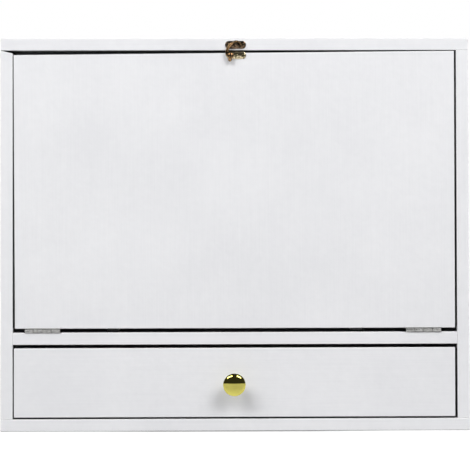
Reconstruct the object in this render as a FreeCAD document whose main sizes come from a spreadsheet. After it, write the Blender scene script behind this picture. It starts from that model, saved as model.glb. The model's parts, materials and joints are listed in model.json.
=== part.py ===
import FreeCAD, Part
import os
import re
import Sketcher

Vector = FreeCAD.Vector
Rotation = FreeCAD.Rotation

# Fold down wall desk. X runs to the right, Y into the wall and Z up.
# The origin lies on the wall plane, midway between the two wall holes.

SIZES = {
    # Case boards
    "width": 600,
    "height": 503,
    "depth": 180,
    "panel": 15.5,
    "edge_round": 0.7,
    "drawer_opening": 95.0,
    "back_thickness": 3,
    "back_lap": 8,
    "rail_height": 60,
    "wall_hole_offset": 200,
    "wall_hole_radius": 3,
    "left_end_fall": 3.6,
    # Inner shelf and dividers
    "divider_offset": 158,
    "divider_height": 165,
    "flap_stop_gap": 0.3,
    # Flap and the gaps at its corners
    "flap_left_gap_low": 2.9,
    "flap_left_gap_high": 1.0,
    "flap_right_gap_low": 2.9,
    "flap_right_gap_high": 2.5,
    "flap_top_gap_left": 5.8,
    "flap_top_gap_right": 0.9,
    "front_round": 0.8,
    "flap_swing": 90,
    # Case joints
    "fit": 0.05,
    "dowel_radius": 4,
    "dowel_in_face": 10,
    "dowel_in_end": 18,
    "dowel_end_room": 0.5,
    "dowel_inset": 35,
    "cam_inset": 40,
    "cam_reach": 24,
    "cam_radius": 7.4,
    "cam_depth": 11,
    "cam_cross_length": 8,
    "cam_cross_width": 1.3,
    "cam_cross_depth": 1.5,
    "cam_bore_radius": 4,
    "bolt_thread_radius": 2.5,
    "bolt_thread_length": 10.5,
    "bolt_radius": 3,
    "bolt_neck_radius": 1.9,
    "bolt_neck_length": 3,
    "bolt_head_radius": 3.4,
    "bolt_head_length": 2.6,
    "pin_radius": 0.75,
    "pin_length": 14,
    # Hinges
    "left_hinge_inset": 38.5,
    "right_hinge_inset": 43.5,
    "hinge_length": 45,
    "hinge_proud": 0.4,
    "hinge_rise": 2.35,
    "knuckle_radius": 2.75,
    "knuckle_gap": 0.2,
    "knuckle_room": 0.3,
    "hinge_pin_radius": 1.4,
    "leaf_thickness": 1.1,
    "leaf_width": 13.5,
    "leaf_screw_inset": 9,
    "leaf_screw_setback": 8.1,
    "recess_room": 0.3,
    # Small countersunk screws of the hinges and stays
    "small_screw_radius": 1.3,
    "small_screw_length": 12,
    "small_head_radius": 2.5,
    "small_head_height": 1.2,
    # Wood screws of the runners and the drawer box
    "wood_screw_radius": 1.75,
    "wood_screw_length": 22,
    "wood_head_radius": 3.5,
    "wood_head_height": 2.2,
    # Latch
    "latch_sheet": 0.9,
    "keeper_length": 27,
    "keeper_height": 10,
    "keeper_offset": 1.3,
    "keeper_drop": 0.8,
    "keeper_screw_offset": 10.1,
    "stud_offset": 1.7,
    "stud_drop": 1.35,
    "stud_shank_radius": 1.4,
    "stud_head_radius": 2.2,
    "stud_head_height": 1.5,
    "stud_room": 0.2,
    "hook_plate_length": 25.7,
    "hook_plate_height": 9.4,
    "hook_plate_offset": 1.95,
    "hook_plate_drop": 6.4,
    "hook_screw_spread": 4.8,
    "hook_screw_offset": 6.8,
    "hook_screw_drop": 0.8,
    "hook_pivot_offset": 5.4,
    "hook_pivot_drop": 7.6,
    "hook_arc_radius": 16.2,
    "hook_arc_offset": 6,
    "hook_arc_drop": 5.2,
    "hook_arc_start": 14,
    "hook_arc_sweep": 83,
    "hook_wire_radius": 1.6,
    "hook_claw_radius": 6.2,
    "hook_claw_wire_radius": 1.3,
    "hook_claw_sweep": 72,
    "hook_lift": 1.4,
    "hook_hub_radius": 4.2,
    "hook_boss_radius": 2.6,
    "hook_tail_radius": 1.5,
    "hook_tail_offset": 0.6,
    "hook_tail_length": 5.3,
    "hook_thumb_radius": 2.4,
    "hook_rivet_radius": 1.3,
    "hook_rivet_head_radius": 2.6,
    "hook_rivet_head_height": 0.9,
    "hook_washer_gap": 0.1,
    "brass_screw_radius": 1.1,
    "brass_screw_length": 10,
    "brass_head_radius": 2.1,
    "brass_crown_radius": 1.2,
    "brass_head_height": 0.9,
    "brass_slot_width": 0.5,
    "brass_slot_depth": 0.4,
    # Flap stays
    "stay_reach": 88,
    "stay_standoff": 10,
    "stay_spacing": 22,
    "stay_inset": 10,
    "stay_rod_radius": 2.5,
    "stay_eye_radius": 5,
    "stay_eye_thickness": 5.4,
    "stay_pin_radius": 2,
    "stay_pin_head_radius": 3.6,
    "stay_pin_head_height": 1.4,
    "stay_side_gap": 0.2,
    "bracket_thickness": 2.5,
    "bracket_width": 16,
    "bracket_height": 36,
    "bracket_screw_offset": 13,
    "sleeve_length": 14,
    "sleeve_radius": 5.5,
    "sleeve_room": 0.2,
    "sleeve_pin_radius": 3,
    "sleeve_flange_radius": 4.4,
    "sleeve_flange_thickness": 1,
    "guide_plate_thickness": 2.5,
    "guide_plate_width": 16,
    "guide_plate_height": 40,
    "guide_screw_offset": 14.5,
    "collar_radius": 4.5,
    "collar_length": 6,
    "stop_gap": 0.3,
    # Drawer
    "drawer_gap_left": 1.5,
    "drawer_gap_right": 3.0,
    "drawer_gap_low": 2.3,
    "drawer_gap_high": 4.5,
    "drawer_side": 12,
    "drawer_side_height": 72,
    "drawer_box_rise": 4,
    "drawer_rear_gap": 13.5,
    "drawer_bottom": 3,
    "drawer_bottom_rise": 8,
    "drawer_groove": 5,
    "groove_room": 0.1,
    "drawer_dowel_radius": 3,
    "drawer_dowel_depth": 11,
    "drawer_dowel_inset": 16,
    "runner_gap": 4,
    "runner_groove": 6,
    "runner_height": 12,
    "runner_rise": 46,
    "runner_tip_room": 0.4,
    "runner_low_room": 0.8,
    "runner_top_room": 0.2,
    "runner_front_stop": 10,
    "runner_rear_gap": 20,
    "runner_screw_inset": 20,
    # Knob
    "knob_offset": 1.4,
    "knob_radius": 14.2,
    "knob_half_depth": 6.4,
    "knob_projection": 26,
    "knob_neck_radius": 5,
    "knob_foot_radius": 7.5,
    "knob_foot_height": 3.5,
    "knob_thread_depth": 12,
    "knob_screw_radius": 2,
    "knob_screw_head_radius": 4,
    "knob_screw_head_height": 2.2,
}

# Length that an outline has before its formulas are set
ROUGH = 100.0

SIDES = ("left", "right")
OUTWARD = {"left": "-x", "right": "+x"}
INWARD = {"left": "+x", "right": "-x"}
OPPOSITE = {"+x": "-x", "-x": "+x", "+y": "-y", "-y": "+y", "+z": "-z", "-z": "+z"}
TURNS = {
    "+x": Rotation(Vector(0, 1, 0), 90),
    "-x": Rotation(Vector(0, 1, 0), -90),
    "+y": Rotation(Vector(1, 0, 0), -90),
    "-y": Rotation(Vector(1, 0, 0), 90),
    "+z": Rotation(),
    "-z": Rotation(Vector(1, 0, 0), 180),
}

# Planes and lines that several pieces share, as formulas of the sizes.
INNER = "(width / 2 - panel)"
REAR = "(-back_thickness)"
TOP_BASE = "(rail_height / 2)"
BASE = f"({TOP_BASE} + panel - height)"
FLOOR = f"({BASE} + panel)"
SHELF_BASE = f"({FLOOR} + drawer_opening)"
SHELF_TOP = f"({SHELF_BASE} + panel)"
INNER_SHELF_BASE = f"({SHELF_TOP} + divider_height)"
INSIDE_FRONT = "(-depth + panel + flap_stop_gap)"
AXIS_Y = "(-depth - hinge_proud)"
AXIS_Z = f"({SHELF_TOP} + hinge_rise)"

# The flap stay: its rod pivot on the flap and its guide pivot on the case are equally far from
# the hinge line, so both the rod and the guide turn by half of the flap's angle.
ROD_BEARING = "asin((hinge_proud + panel + stay_standoff) / stay_reach)"
STAY_WEDGE = "(2 * asin(stay_spacing / (2 * stay_reach)))"
GUIDE_BEARING = f"({ROD_BEARING} + {STAY_WEDGE})"
ROD_SLOPE = f"({ROD_BEARING} + {STAY_WEDGE} / 2)"
ROD_TILT = f"(-90 deg - {ROD_SLOPE})"
ROD_OPEN_LENGTH = f"(2 * stay_reach * sin(({STAY_WEDGE} + flap_swing * 1 deg) / 2))"
ROD_PIVOT, GUIDE_PIVOT = [
    (f"({AXIS_Y} + stay_reach * sin({bearing}))", f"({AXIS_Z} + stay_reach * cos({bearing}))")
    for bearing in (ROD_BEARING, GUIDE_BEARING)
]

doc = FreeCAD.newDocument("WallDesk")
sheet = doc.addObject("Spreadsheet::Sheet", "Sizes")
for row, (size_name, value) in enumerate(SIZES.items(), 1):
    sheet.set(f"A{row}", size_name)
    sheet.set(f"B{row}", str(value))
    sheet.setAlias(f"B{row}", size_name)
doc.recompute()

nodes = []
bores = {}


def formula(text):
    """Point every size name in the text to its cell."""
    def cell(hit):
        word = hit.group()
        return f"Sizes.{word}" if word in SIZES else word

    return re.sub(r"[a-z_]+", cell, text)


def bind(item, **formulas):
    for prop, text in formulas.items():
        item.setExpression(prop, formula(text))


def place(item, point):
    for axis, text in zip("xyz", point):
        item.setExpression(f"Placement.Base.{axis}", formula(text))


def along(point, way, distance):
    """The point moved by a distance along one of the six axis directions."""
    moved = list(point)
    index = "xyz".index(way[1])
    moved[index] = f"({moved[index]} {way[0]} ({distance}))"
    return tuple(moved)


def at(side, distance):
    return f"(0 - ({distance}))" if side == "left" else f"({distance})"


def span(side, near, far):
    """Low edge and length along X of a stretch measured outwards from the middle of the desk."""
    low = f"(0 - ({far}))" if side == "left" else f"({near})"
    return low, f"(({far}) - ({near}))"


def node(name, item):
    item.Label = name
    nodes.append(item)
    return item


def box(name, corner, size):
    item = doc.addObject("Part::Box", name)
    bind(item, Length=size[0], Width=size[1], Height=size[2])
    place(item, corner)
    return item


def brick(name, centre, size):
    corner = [f"({middle} - ({length}) / 2)" for middle, length in zip(centre, size)]
    return box(name, corner, size)


def bar(name, point, way, start, end, radius):
    """A round bar along one axis direction, from one distance to another past the point."""
    item = doc.addObject("Part::Cylinder", name)
    bind(item, Radius=radius, Height=f"({end}) - ({start})")
    item.Placement = FreeCAD.Placement(Vector(), TURNS[way])
    place(item, along(point, way, start))
    return item


def taper(name, point, way, start, end, start_radius, end_radius):
    item = doc.addObject("Part::Cone", name)
    bind(item, Radius1=start_radius, Radius2=end_radius, Height=f"({end}) - ({start})")
    item.Placement = FreeCAD.Placement(Vector(), TURNS[way])
    place(item, along(point, way, start))
    return item


def ball(name, centre, radius):
    item = doc.addObject("Part::Sphere", name)
    bind(item, Radius=radius)
    place(item, centre)
    return item


def sloped_bar(name, x, pivot, start, end, radius):
    """A round bar along the stay rod's slope, from one distance to another past the pivot."""
    item = doc.addObject("Part::Cylinder", name)
    bind(item, Radius=radius, Height=f"({end}) - ({start})")
    item.Placement = FreeCAD.Placement(Vector(), Rotation(Vector(1, 0, 0), -90))
    item.setExpression("Placement.Rotation.Angle", formula(ROD_TILT))
    y = f"{pivot[0]} + ({start}) * cos({ROD_SLOPE})"
    z = f"{pivot[1]} - ({start}) * sin({ROD_SLOPE})"
    place(item, (x, y, z))
    return item


def fuse(name, items):
    item = doc.addObject("Part::MultiFuse", name)
    item.Shapes = items
    item.Refine = True
    return item


def cut(name, base, tools):
    item = doc.addObject("Part::Cut", name)
    item.Base = base
    item.Tool = tools[0] if len(tools) == 1 else fuse(name + "_tools", tools)
    return item


def group(name, items):
    item = doc.addObject("Part::Compound", name)
    item.Links = items
    return node(name, item)


def drill(tool, *boards):
    for name in boards:
        bores.setdefault(name, []).append(tool)


def drilled(name, base):
    """The node of a piece with every bore that was drilled in it."""
    return node(name, cut(name, base, bores[name]))


def attach(sketch, body, role):
    plane = [feature for feature in body.Origin.OriginFeatures if feature.Role == role][0]
    sketch.AttachmentSupport = [(plane, "")]
    sketch.MapMode = "FlatFace"


def outline(sketch, corners):
    """A closed outline whose corners are fixed by formulas, counted from the sketch's root point."""
    rough = [Vector(x, y, 0) for x, y in ((0, 0), (ROUGH, 0), (ROUGH, ROUGH), (0, ROUGH))]
    count = len(rough)
    for index in range(count):
        sketch.addGeometry(Part.LineSegment(rough[index], rough[(index + 1) % count]), False)
    for index in range(count):
        sketch.addConstraint(Sketcher.Constraint("Coincident", index, 2, (index + 1) % count, 1))
    for index, corner in enumerate(corners):
        for way, text in zip(("DistanceX", "DistanceY"), corner):
            if text == "0":
                line = -2 if way == "DistanceX" else -1
                sketch.addConstraint(Sketcher.Constraint("PointOnObject", index, 1, line))
                continue
            number = sketch.addConstraint(Sketcher.Constraint(way, -1, 1, index, 1, ROUGH))
            sketch.setExpression(f"Constraints[{number}]", formula(text))


def padded_board(name, role, corners, thickness, rounding, corner):
    """A board padded from an outline, with all its edges softened."""
    body = doc.addObject("PartDesign::Body", name)
    sketch = body.newObject("Sketcher::SketchObject", name + "_outline")
    attach(sketch, body, role)
    outline(sketch, corners)
    pad = body.newObject("PartDesign::Pad", name + "_pad")
    pad.Profile = sketch
    bind(pad, Length=thickness)
    doc.recompute()
    soft = body.newObject("PartDesign::Fillet", name + "_soft_edges")
    soft.Base = (pad, [f"Edge{number + 1}" for number in range(len(pad.Shape.Edges))])
    bind(soft, Radius=rounding)
    place(body, corner)
    return body


def board(name, corner, size, rounding="edge_round"):
    corners = [("0", "0"), (size[0], "0"), (size[0], size[1]), ("0", size[1])]
    return padded_board(name + "_board", "XY_Plane", corners, size[2], rounding, corner)


def front_board(name, low_left, corners, rounding):
    """A board seen in the front view: its outline in X and Z, its outer face flush with the case."""
    corner = (low_left[0], "-depth + panel", low_left[1])
    return padded_board(name + "_board", "XZ_Plane", corners, "panel", rounding, corner)


def dowel(name, point, way, boards, radius="dowel_radius", near="dowel_in_face", far="dowel_in_end"):
    """A dowel across a seam at the point, with its holes in both boards."""
    drill(bar(name + "_hole", point, way, f"0 - {near} - dowel_end_room", f"{far} + dowel_end_room",
              f"{radius} + fit"), *boards)
    return bar(name, point, way, f"0 - {near}", far, radius)


def cam_joint(name, point, way, face, bolt_board, disc_board):
    """A cam bolt across the seam at the point and the cam disc that draws it in."""
    drill(bar(name + "_thread_hole", point, way, "0 - bolt_thread_length - dowel_end_room", "0",
              "bolt_thread_radius + fit"), bolt_board)
    head_end = "cam_reach + bolt_head_length / 2"
    neck_start = f"{head_end} - bolt_head_length - bolt_neck_length"
    bolt_hole = bar(name + "_bolt_hole", point, way, "0", f"{head_end} + dowel_end_room", "cam_bore_radius")
    bolt = fuse(name + "_bolt", [
        bar(name + "_thread", point, way, "0 - bolt_thread_length", "0", "bolt_thread_radius"),
        bar(name + "_shank", point, way, "0", neck_start, "bolt_radius"),
        bar(name + "_neck", point, way, neck_start, f"{head_end} - bolt_head_length", "bolt_neck_radius"),
        bar(name + "_head", point, way, f"{head_end} - bolt_head_length", head_end, "bolt_head_radius"),
    ])
    seat = along(along(point, way, "cam_reach"), face, "panel / 2")
    inwards = OPPOSITE[face]
    disc_hole = bar(name + "_disc_hole", seat, inwards, "0", "cam_depth + dowel_end_room", "cam_radius + fit")
    drill(bolt_hole, disc_board)
    drill(disc_hole, disc_board)
    blank = bar(name + "_blank", seat, inwards, "0", "cam_depth", "cam_radius")
    middle = along(seat, inwards, "cam_cross_depth / 2")
    across = [letter for letter in "xyz" if letter != face[1]]
    cross = []
    for long_way in across:
        size = {letter: "cam_cross_width" for letter in across}
        size[long_way] = "cam_cross_length"
        size[face[1]] = "cam_cross_depth"
        cross.append(brick(f"{name}_cross_{long_way}", middle, [size[letter] for letter in "xyz"]))
    return bolt, cut(name + "_disc", blank, [bolt_hole] + cross)


def countersunk(name, point, way, kind, boards):
    """A countersunk screw whose head lies flush at the point, with its hole in the boards."""
    radius, length = f"{kind}_screw_radius", f"{kind}_screw_length"
    head_radius, head_height = f"{kind}_head_radius", f"{kind}_head_height"
    drill(fuse(name + "_hole", [
        taper(name + "_sink", point, way, "0", head_height, f"{head_radius} + fit", f"{radius} + fit"),
        bar(name + "_bore", point, way, "0", f"{length} + fit", f"{radius} + fit"),
    ]), *boards)
    return fuse(name, [
        taper(name + "_head", point, way, "0", head_height, head_radius, radius),
        bar(name + "_shank", point, way, "0", length, radius),
    ])


def slotted(name, point, way, boards):
    """A slotted brass screw with a raised head that stands on the sheet at the point."""
    drill(bar(name + "_bore", point, way, "0", "brass_screw_length + fit", "brass_screw_radius + fit"),
          *boards)
    front = along(point, OPPOSITE[way], "brass_head_height - brass_slot_depth / 2")
    blank = fuse(name + "_blank", [
        taper(name + "_head", point, OPPOSITE[way], "0", "brass_head_height", "brass_head_radius",
              "brass_crown_radius"),
        bar(name + "_shank", point, way, "0", "brass_screw_length", "brass_screw_radius"),
    ])
    slot = brick(name + "_slot", front, ("2 * brass_head_radius", "brass_slot_depth", "brass_slot_width"))
    return cut(name, blank, [slot])


def rounded_plate(name, centre, length, height):
    """A sheet plate with half-round ends that stands on the front plane."""
    reach = f"({length} - {height}) / 2"
    middle = along(centre, "-y", "latch_sheet / 2")
    return [
        brick(name + "_middle", middle, (f"{length} - {height}", "latch_sheet", height)),
        bar(name + "_left_end", along(centre, "-x", reach), "-y", "0", "latch_sheet", f"{height} / 2"),
        bar(name + "_right_end", along(centre, "+x", reach), "-y", "0", "latch_sheet", f"{height} / 2"),
    ]


# Bare boards of the case
top = board("top_panel", ("-width / 2", "-depth", TOP_BASE), ("width", "depth", "panel"))
bottom = board("bottom_panel", ("-width / 2", "-depth", BASE), ("width", "depth", "panel"))
shelf_depth = f"depth + {REAR}"
inner_depth = f"{REAR} - {INSIDE_FRONT}"
shelf = board("desk_shelf", (f"-{INNER}", "-depth", SHELF_BASE), (f"2 * {INNER}", shelf_depth, "panel"))
inner_shelf = board("inner_shelf", (f"-{INNER}", INSIDE_FRONT, INNER_SHELF_BASE),
                    (f"2 * {INNER}", inner_depth, "panel"))
rail = board("hanging_rail", (f"-{INNER}", f"{REAR} - panel", f"{TOP_BASE} - rail_height"),
             (f"2 * {INNER}", "panel", "rail_height"))
side_boards = {}
divider_boards = {}
for side in SIDES:
    low, thickness = span(side, INNER, "width / 2")
    side_boards[side] = board(f"{side}_side_panel", (low, "-depth", FLOOR),
                              (thickness, "depth", "height - 2 * panel"))
    low, thickness = span(side, "divider_offset - panel / 2", "divider_offset + panel / 2")
    divider_boards[side] = board(f"{side}_divider", (low, INSIDE_FRONT, SHELF_TOP),
                                 (thickness, inner_depth, "divider_height"))

# The left side panel's upper end is sawn out of square, which leaves a wedge under the top panel
left_end = ("-width / 2", "-depth - panel", TOP_BASE)
saw = box("left_end_saw", left_end, ("2 * panel", "depth + 2 * panel", "panel"))
saw.Placement = FreeCAD.Placement(Vector(), TURNS["+x"])
saw.setExpression("Placement.Rotation.Angle", formula("atan(left_end_fall / panel)"))
place(saw, left_end)
drill(saw, "left_side_panel")

# Back panel, let into rabbets all round and pinned
back_width = f"2 * ({INNER} + back_lap)"
back_height = f"{TOP_BASE} - {FLOOR} + 2 * back_lap"
drill(box("back_rabbet", (f"-{INNER} - back_lap", REAR, f"{FLOOR} - back_lap"),
          (back_width, "2 * back_thickness", back_height)),
      "top_panel", "bottom_panel", "left_side_panel", "right_side_panel")
back = box("back_panel_sheet", (f"-{INNER} - back_lap + fit", REAR, f"{FLOOR} - back_lap + fit"),
           (f"{back_width} - 2 * fit", "back_thickness", f"{back_height} - 2 * fit"))

SIDE_PINS = 4
EDGE_PINS = 4
SHELF_PINS = 3
pin_places = []
for index in range(SIDE_PINS):
    rise = f"{FLOOR} + ({TOP_BASE} - rail_height - {FLOOR}) * {(index + 0.5) / SIDE_PINS}"
    for side in SIDES:
        pin_places.append((at(side, f"{INNER} + back_lap / 2"), rise, f"{side}_side_panel"))
for index in range(EDGE_PINS):
    along_edge = f"(0 - {INNER}) + 2 * {INNER} * {(index + 0.5) / EDGE_PINS}"
    pin_places.append((along_edge, f"{TOP_BASE} + back_lap / 2", "top_panel"))
    pin_places.append((along_edge, f"{FLOOR} - back_lap / 2", "bottom_panel"))
for index in range(SHELF_PINS):
    along_edge = f"(0 - {INNER}) + 2 * {INNER} * {(index + 0.5) / SHELF_PINS}"
    pin_places.append((along_edge, f"{SHELF_BASE} + panel / 2", "desk_shelf"))
pins = []
for number, (x, z, target) in enumerate(pin_places, 1):
    drill(bar(f"pin_hole_{number}", (x, "0", z), "-y", "0", "pin_length + fit", "pin_radius + fit"),
          "back_panel", target)
    pins.append(bar(f"pin_{number}", (x, "0", z), "-y", "0", "pin_length", "pin_radius"))
group("back_pins", pins)

# Wall holes through the hanging rail and the back panel
for side in SIDES:
    centre = (at(side, "wall_hole_offset"), "0", f"{TOP_BASE} - rail_height / 2")
    drill(bar(f"{side}_wall_hole", centre, "-y", "0", "back_thickness + panel", "wall_hole_radius"),
          "hanging_rail", "back_panel")

# Cams, bolts and dowels of the case
bolts = []
discs = []
dowels = []
cam_rows = {"front": "-depth + cam_inset", "rear": "-cam_inset"}
dowel_rows = {"front": f"{INSIDE_FRONT} + dowel_inset", "rear": f"{REAR} - dowel_inset"}
for side in SIDES:
    panel_name = f"{side}_side_panel"
    board_middle = at(side, f"{INNER} + panel / 2")
    face = at(side, INNER)
    shelf_middle = f"{SHELF_BASE} + panel / 2"
    for row, y in cam_rows.items():
        name = f"{side}_{row}"
        inward = INWARD[side]
        joints = [
            (f"{name}_top_cam", (board_middle, y, TOP_BASE), "-z", inward, "top_panel", panel_name),
            (f"{name}_bottom_cam", (board_middle, y, FLOOR), "+z", inward, "bottom_panel", panel_name),
            (f"{name}_shelf_cam", (face, y, shelf_middle), inward, "-z", panel_name, "desk_shelf"),
        ]
        for joint in joints:
            bolt, disc = cam_joint(*joint)
            bolts.append(bolt)
            discs.append(disc)
    middle = "-depth / 2"
    dowels += [
        dowel(f"{side}_top_dowel", (board_middle, middle, TOP_BASE), "-z", ("top_panel", panel_name)),
        dowel(f"{side}_bottom_dowel", (board_middle, middle, FLOOR), "+z", ("bottom_panel", panel_name)),
        dowel(f"{side}_shelf_dowel", (face, middle, shelf_middle), INWARD[side], (panel_name, "desk_shelf")),
    ]
    for quarter in (1, 3):
        rise = f"{TOP_BASE} - rail_height * {quarter} / 4"
        dowels.append(dowel(f"{side}_rail_dowel_{quarter}", (face, f"{REAR} - panel / 2", rise), INWARD[side],
                            (panel_name, "hanging_rail")))
    divider_name = f"{side}_divider"
    divider_x = at(side, "divider_offset")
    for row, y in dowel_rows.items():
        side_seam = (face, y, f"{INNER_SHELF_BASE} + panel / 2")
        foot_seam = (divider_x, y, SHELF_TOP)
        head_seam = (divider_x, y, INNER_SHELF_BASE)
        name = f"{side}_{row}"
        dowels += [
            dowel(f"{name}_inner_dowel", side_seam, INWARD[side], (panel_name, "inner_shelf")),
            dowel(f"{name}_foot_dowel", foot_seam, "+z", ("desk_shelf", divider_name)),
            dowel(f"{name}_head_dowel", head_seam, "-z", ("inner_shelf", divider_name)),
        ]
group("cam_bolts", bolts)
group("cam_discs", discs)
group("dowels", dowels)

# Butt hinges: the shelf leaf carries the first and third knuckles, the flap leaf the others
KNUCKLES = 4
LEAF_FLOOR = {"shelf": f"({AXIS_Z} - knuckle_radius)",
              "flap": f"({AXIS_Z} + knuckle_radius - leaf_thickness)"}
LEAF_FACE = {"shelf": f"({AXIS_Z} - knuckle_radius + leaf_thickness)", "flap": LEAF_FLOOR["flap"]}
LEAF_SCREW_WAY = {"shelf": "-z", "flap": "+z"}
LEAF_BOARD = {"shelf": "desk_shelf", "flap": "flap"}
leaf_screws = {"shelf": [], "flap": []}
for side in SIDES:
    middle = at(side, f"{INNER} - {side}_hinge_inset")
    low = f"({middle} - hinge_length / 2)"
    axis = (low, AXIS_Y, AXIS_Z)
    recess = (f"{low} - recess_room", f"{AXIS_Y} - knuckle_radius", LEAF_FLOOR["shelf"])
    recess_size = ("hinge_length + 2 * recess_room", "leaf_width + knuckle_radius + recess_room",
                   "leaf_width")
    drill(box(f"{side}_hinge_recess", recess, recess_size), "desk_shelf")
    for leaf, first in (("shelf", 0), ("flap", 1)):
        name = f"{side}_hinge_{leaf}_leaf"
        plate = box(name + "_plate", (low, AXIS_Y, LEAF_FLOOR[leaf]),
                    ("hinge_length", "leaf_width", "leaf_thickness"))
        notches = []
        knuckles = []
        for index in range(KNUCKLES):
            start = f"hinge_length * {index} / {KNUCKLES} + knuckle_gap / 2"
            end = f"hinge_length * {index + 1} / {KNUCKLES} - knuckle_gap / 2"
            if index % 2 == first:
                knuckles.append(bar(f"{name}_knuckle_{index}", axis, "+x", start, end, "knuckle_radius"))
            else:
                notches.append(bar(f"{name}_notch_{index}", axis, "+x", f"{start} - knuckle_gap",
                                   f"{end} + knuckle_gap", "knuckle_radius + knuckle_room"))
        blank = fuse(name + "_blank", [cut(name + "_notched", plate, notches)] + knuckles)
        drill(bar(name + "_eye", axis, "+x", "0", "hinge_length", "hinge_pin_radius + fit"), name)
        for end, sign in (("inner", "+"), ("outer", "-")):
            x = f"{middle} {sign} (hinge_length / 2 - leaf_screw_inset)"
            point = (x, f"{AXIS_Y} + leaf_screw_setback", LEAF_FACE[leaf])
            leaf_screws[leaf].append(countersunk(f"{name}_{end}_screw", point, LEAF_SCREW_WAY[leaf], "small",
                                                 (name, LEAF_BOARD[leaf])))
        drilled(name, blank)
    node(f"{side}_hinge_pin", bar(f"{side}_hinge_pin", axis, "+x", "0", "hinge_length", "hinge_pin_radius"))
group("hinge_shelf_screws", leaf_screws["shelf"])
group("hinge_flap_screws", leaf_screws["flap"])

# Latch keeper on the top panel's front edge, with the stud that the hook goes round
keeper_centre = ("keeper_offset", "-depth", f"{TOP_BASE} + panel / 2 - keeper_drop")
sheet_face = "(-depth - latch_sheet)"
stud = ("stud_offset", sheet_face, f"{TOP_BASE} + panel / 2 - stud_drop")
stud_neck = "hook_lift + 2 * hook_wire_radius + stud_room"
keeper_screws = []
for side in SIDES:
    point = (f"keeper_offset + {at(side, 'keeper_screw_offset')}", sheet_face, keeper_centre[2])
    keeper_screws.append(slotted(f"{side}_keeper_screw", point, "+y", ("latch_keeper", "top_panel")))
stud_end = f"{stud_neck} + stud_head_height"
keeper_sheet = rounded_plate("latch_keeper", keeper_centre, "keeper_length", "keeper_height")
keeper = fuse("latch_keeper_blank", keeper_sheet + [
    bar("stud_shank", stud, "-y", "0", stud_neck, "stud_shank_radius"),
    taper("stud_head", stud, "-y", stud_neck, stud_end, "stud_head_radius", "stud_shank_radius"),
])
drilled("latch_keeper", keeper)
group("latch_keeper_screws", keeper_screws)

# Latch hook and its plate on the flap
plate_centre = ("hook_plate_offset", "-depth", f"{TOP_BASE} - hook_plate_drop")
pivot = ("(0 - hook_pivot_offset)", sheet_face, f"({TOP_BASE} - hook_pivot_drop)")
wire_plane = "(-depth - latch_sheet - hook_lift - hook_wire_radius)"
arc_centre = ("hook_arc_offset", wire_plane, f"({TOP_BASE} - hook_arc_drop)")
hub_start = "hook_lift + hook_washer_gap"
hub_end = "hook_lift + 2 * hook_wire_radius"
drill(bar("hook_rivet_hole", pivot, "-y", "0 - latch_sheet", hub_end, "hook_rivet_radius + fit"),
      "latch_hook", "latch_hook_plate")
hook_screws = []
for side in SIDES:
    x = f"hook_screw_offset + {at(side, 'hook_screw_spread')}"
    point = (x, sheet_face, f"{plate_centre[2]} - hook_screw_drop")
    hook_screws.append(slotted(f"{side}_hook_screw", point, "+y", ("latch_hook_plate", "flap")))
hook_sheet = rounded_plate("latch_hook_plate", plate_centre, "hook_plate_length", "hook_plate_height")
hook_boss = bar("hook_boss", pivot, "-y", "0", "hook_lift", "hook_boss_radius")
hook_plate = fuse("latch_hook_plate_blank", hook_sheet + [hook_boss])
drilled("latch_hook_plate", hook_plate)
group("latch_hook_screws", hook_screws)
rivet_neck = f"{hub_end} + hook_washer_gap"
rivet_end = f"{rivet_neck} + hook_rivet_head_height"
node("latch_hook_rivet", fuse("latch_hook_rivet", [
    bar("hook_rivet_shank", pivot, "-y", "0 - latch_sheet", rivet_neck, "hook_rivet_radius"),
    taper("hook_rivet_head", pivot, "-y", rivet_neck, rivet_end, "hook_rivet_head_radius",
          "hook_rivet_radius"),
]))


def hook_point(centre, radius, angle):
    """A point of a bend of the hook, at an angle from the top of its circle towards the left."""
    x = f"({centre[0]} - {radius} * sin({angle}))"
    z = f"({centre[2]} + {radius} * cos({angle}))"
    return x, wire_plane, z


def hook_bend(name, centre, radius, wire, start, sweep):
    """A round wire bent about the centre, from a start angle left of the top on towards the left."""
    ring = doc.addObject("Part::Torus", name + "_ring")
    bind(ring, Radius1=radius, Radius2=wire, Angle3=sweep)
    upright = Rotation(Vector(0, 0, 1), Vector(-1, 0, 0), Vector(0, -1, 0), "XYZ")
    ring.Placement = FreeCAD.Placement(Vector(), upright)
    bend = doc.addObject("Part::Compound", name)
    bend.Links = [ring]
    bend.Placement = FreeCAD.Placement(Vector(), Rotation(Vector(0, -1, 0), 1))
    bend.setExpression("Placement.Rotation.Angle", formula(f"{start} * 1 deg"))
    place(bend, centre)
    return bend


peak = hook_point(arc_centre, "hook_arc_radius", "hook_arc_start")
heel = hook_point(arc_centre, "hook_arc_radius", "(hook_arc_start + hook_arc_sweep)")
claw_centre = along(peak, "-z", "hook_claw_radius")
claw_start = "(0 - hook_claw_sweep)"
tail = (f"{pivot[0]} - hook_tail_offset", wire_plane, pivot[2])
hook = fuse("latch_hook_blank", [
    hook_bend("hook_arc", arc_centre, "hook_arc_radius", "hook_wire_radius", "hook_arc_start",
              "hook_arc_sweep"),
    hook_bend("hook_claw", claw_centre, "hook_claw_radius", "hook_claw_wire_radius", claw_start,
              "hook_claw_sweep"),
    ball("hook_peak", peak, "hook_wire_radius"),
    ball("hook_heel", heel, "hook_wire_radius"),
    ball("hook_tip", hook_point(claw_centre, "hook_claw_radius", claw_start), "hook_claw_wire_radius"),
    bar("hook_hub", pivot, "-y", hub_start, hub_end, "hook_hub_radius"),
    bar("hook_tail", tail, "-z", "0", "hook_tail_length", "hook_tail_radius"),
    ball("hook_thumb", along(tail, "-z", "hook_tail_length"), "hook_thumb_radius"),
])
drilled("latch_hook", hook)

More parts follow.
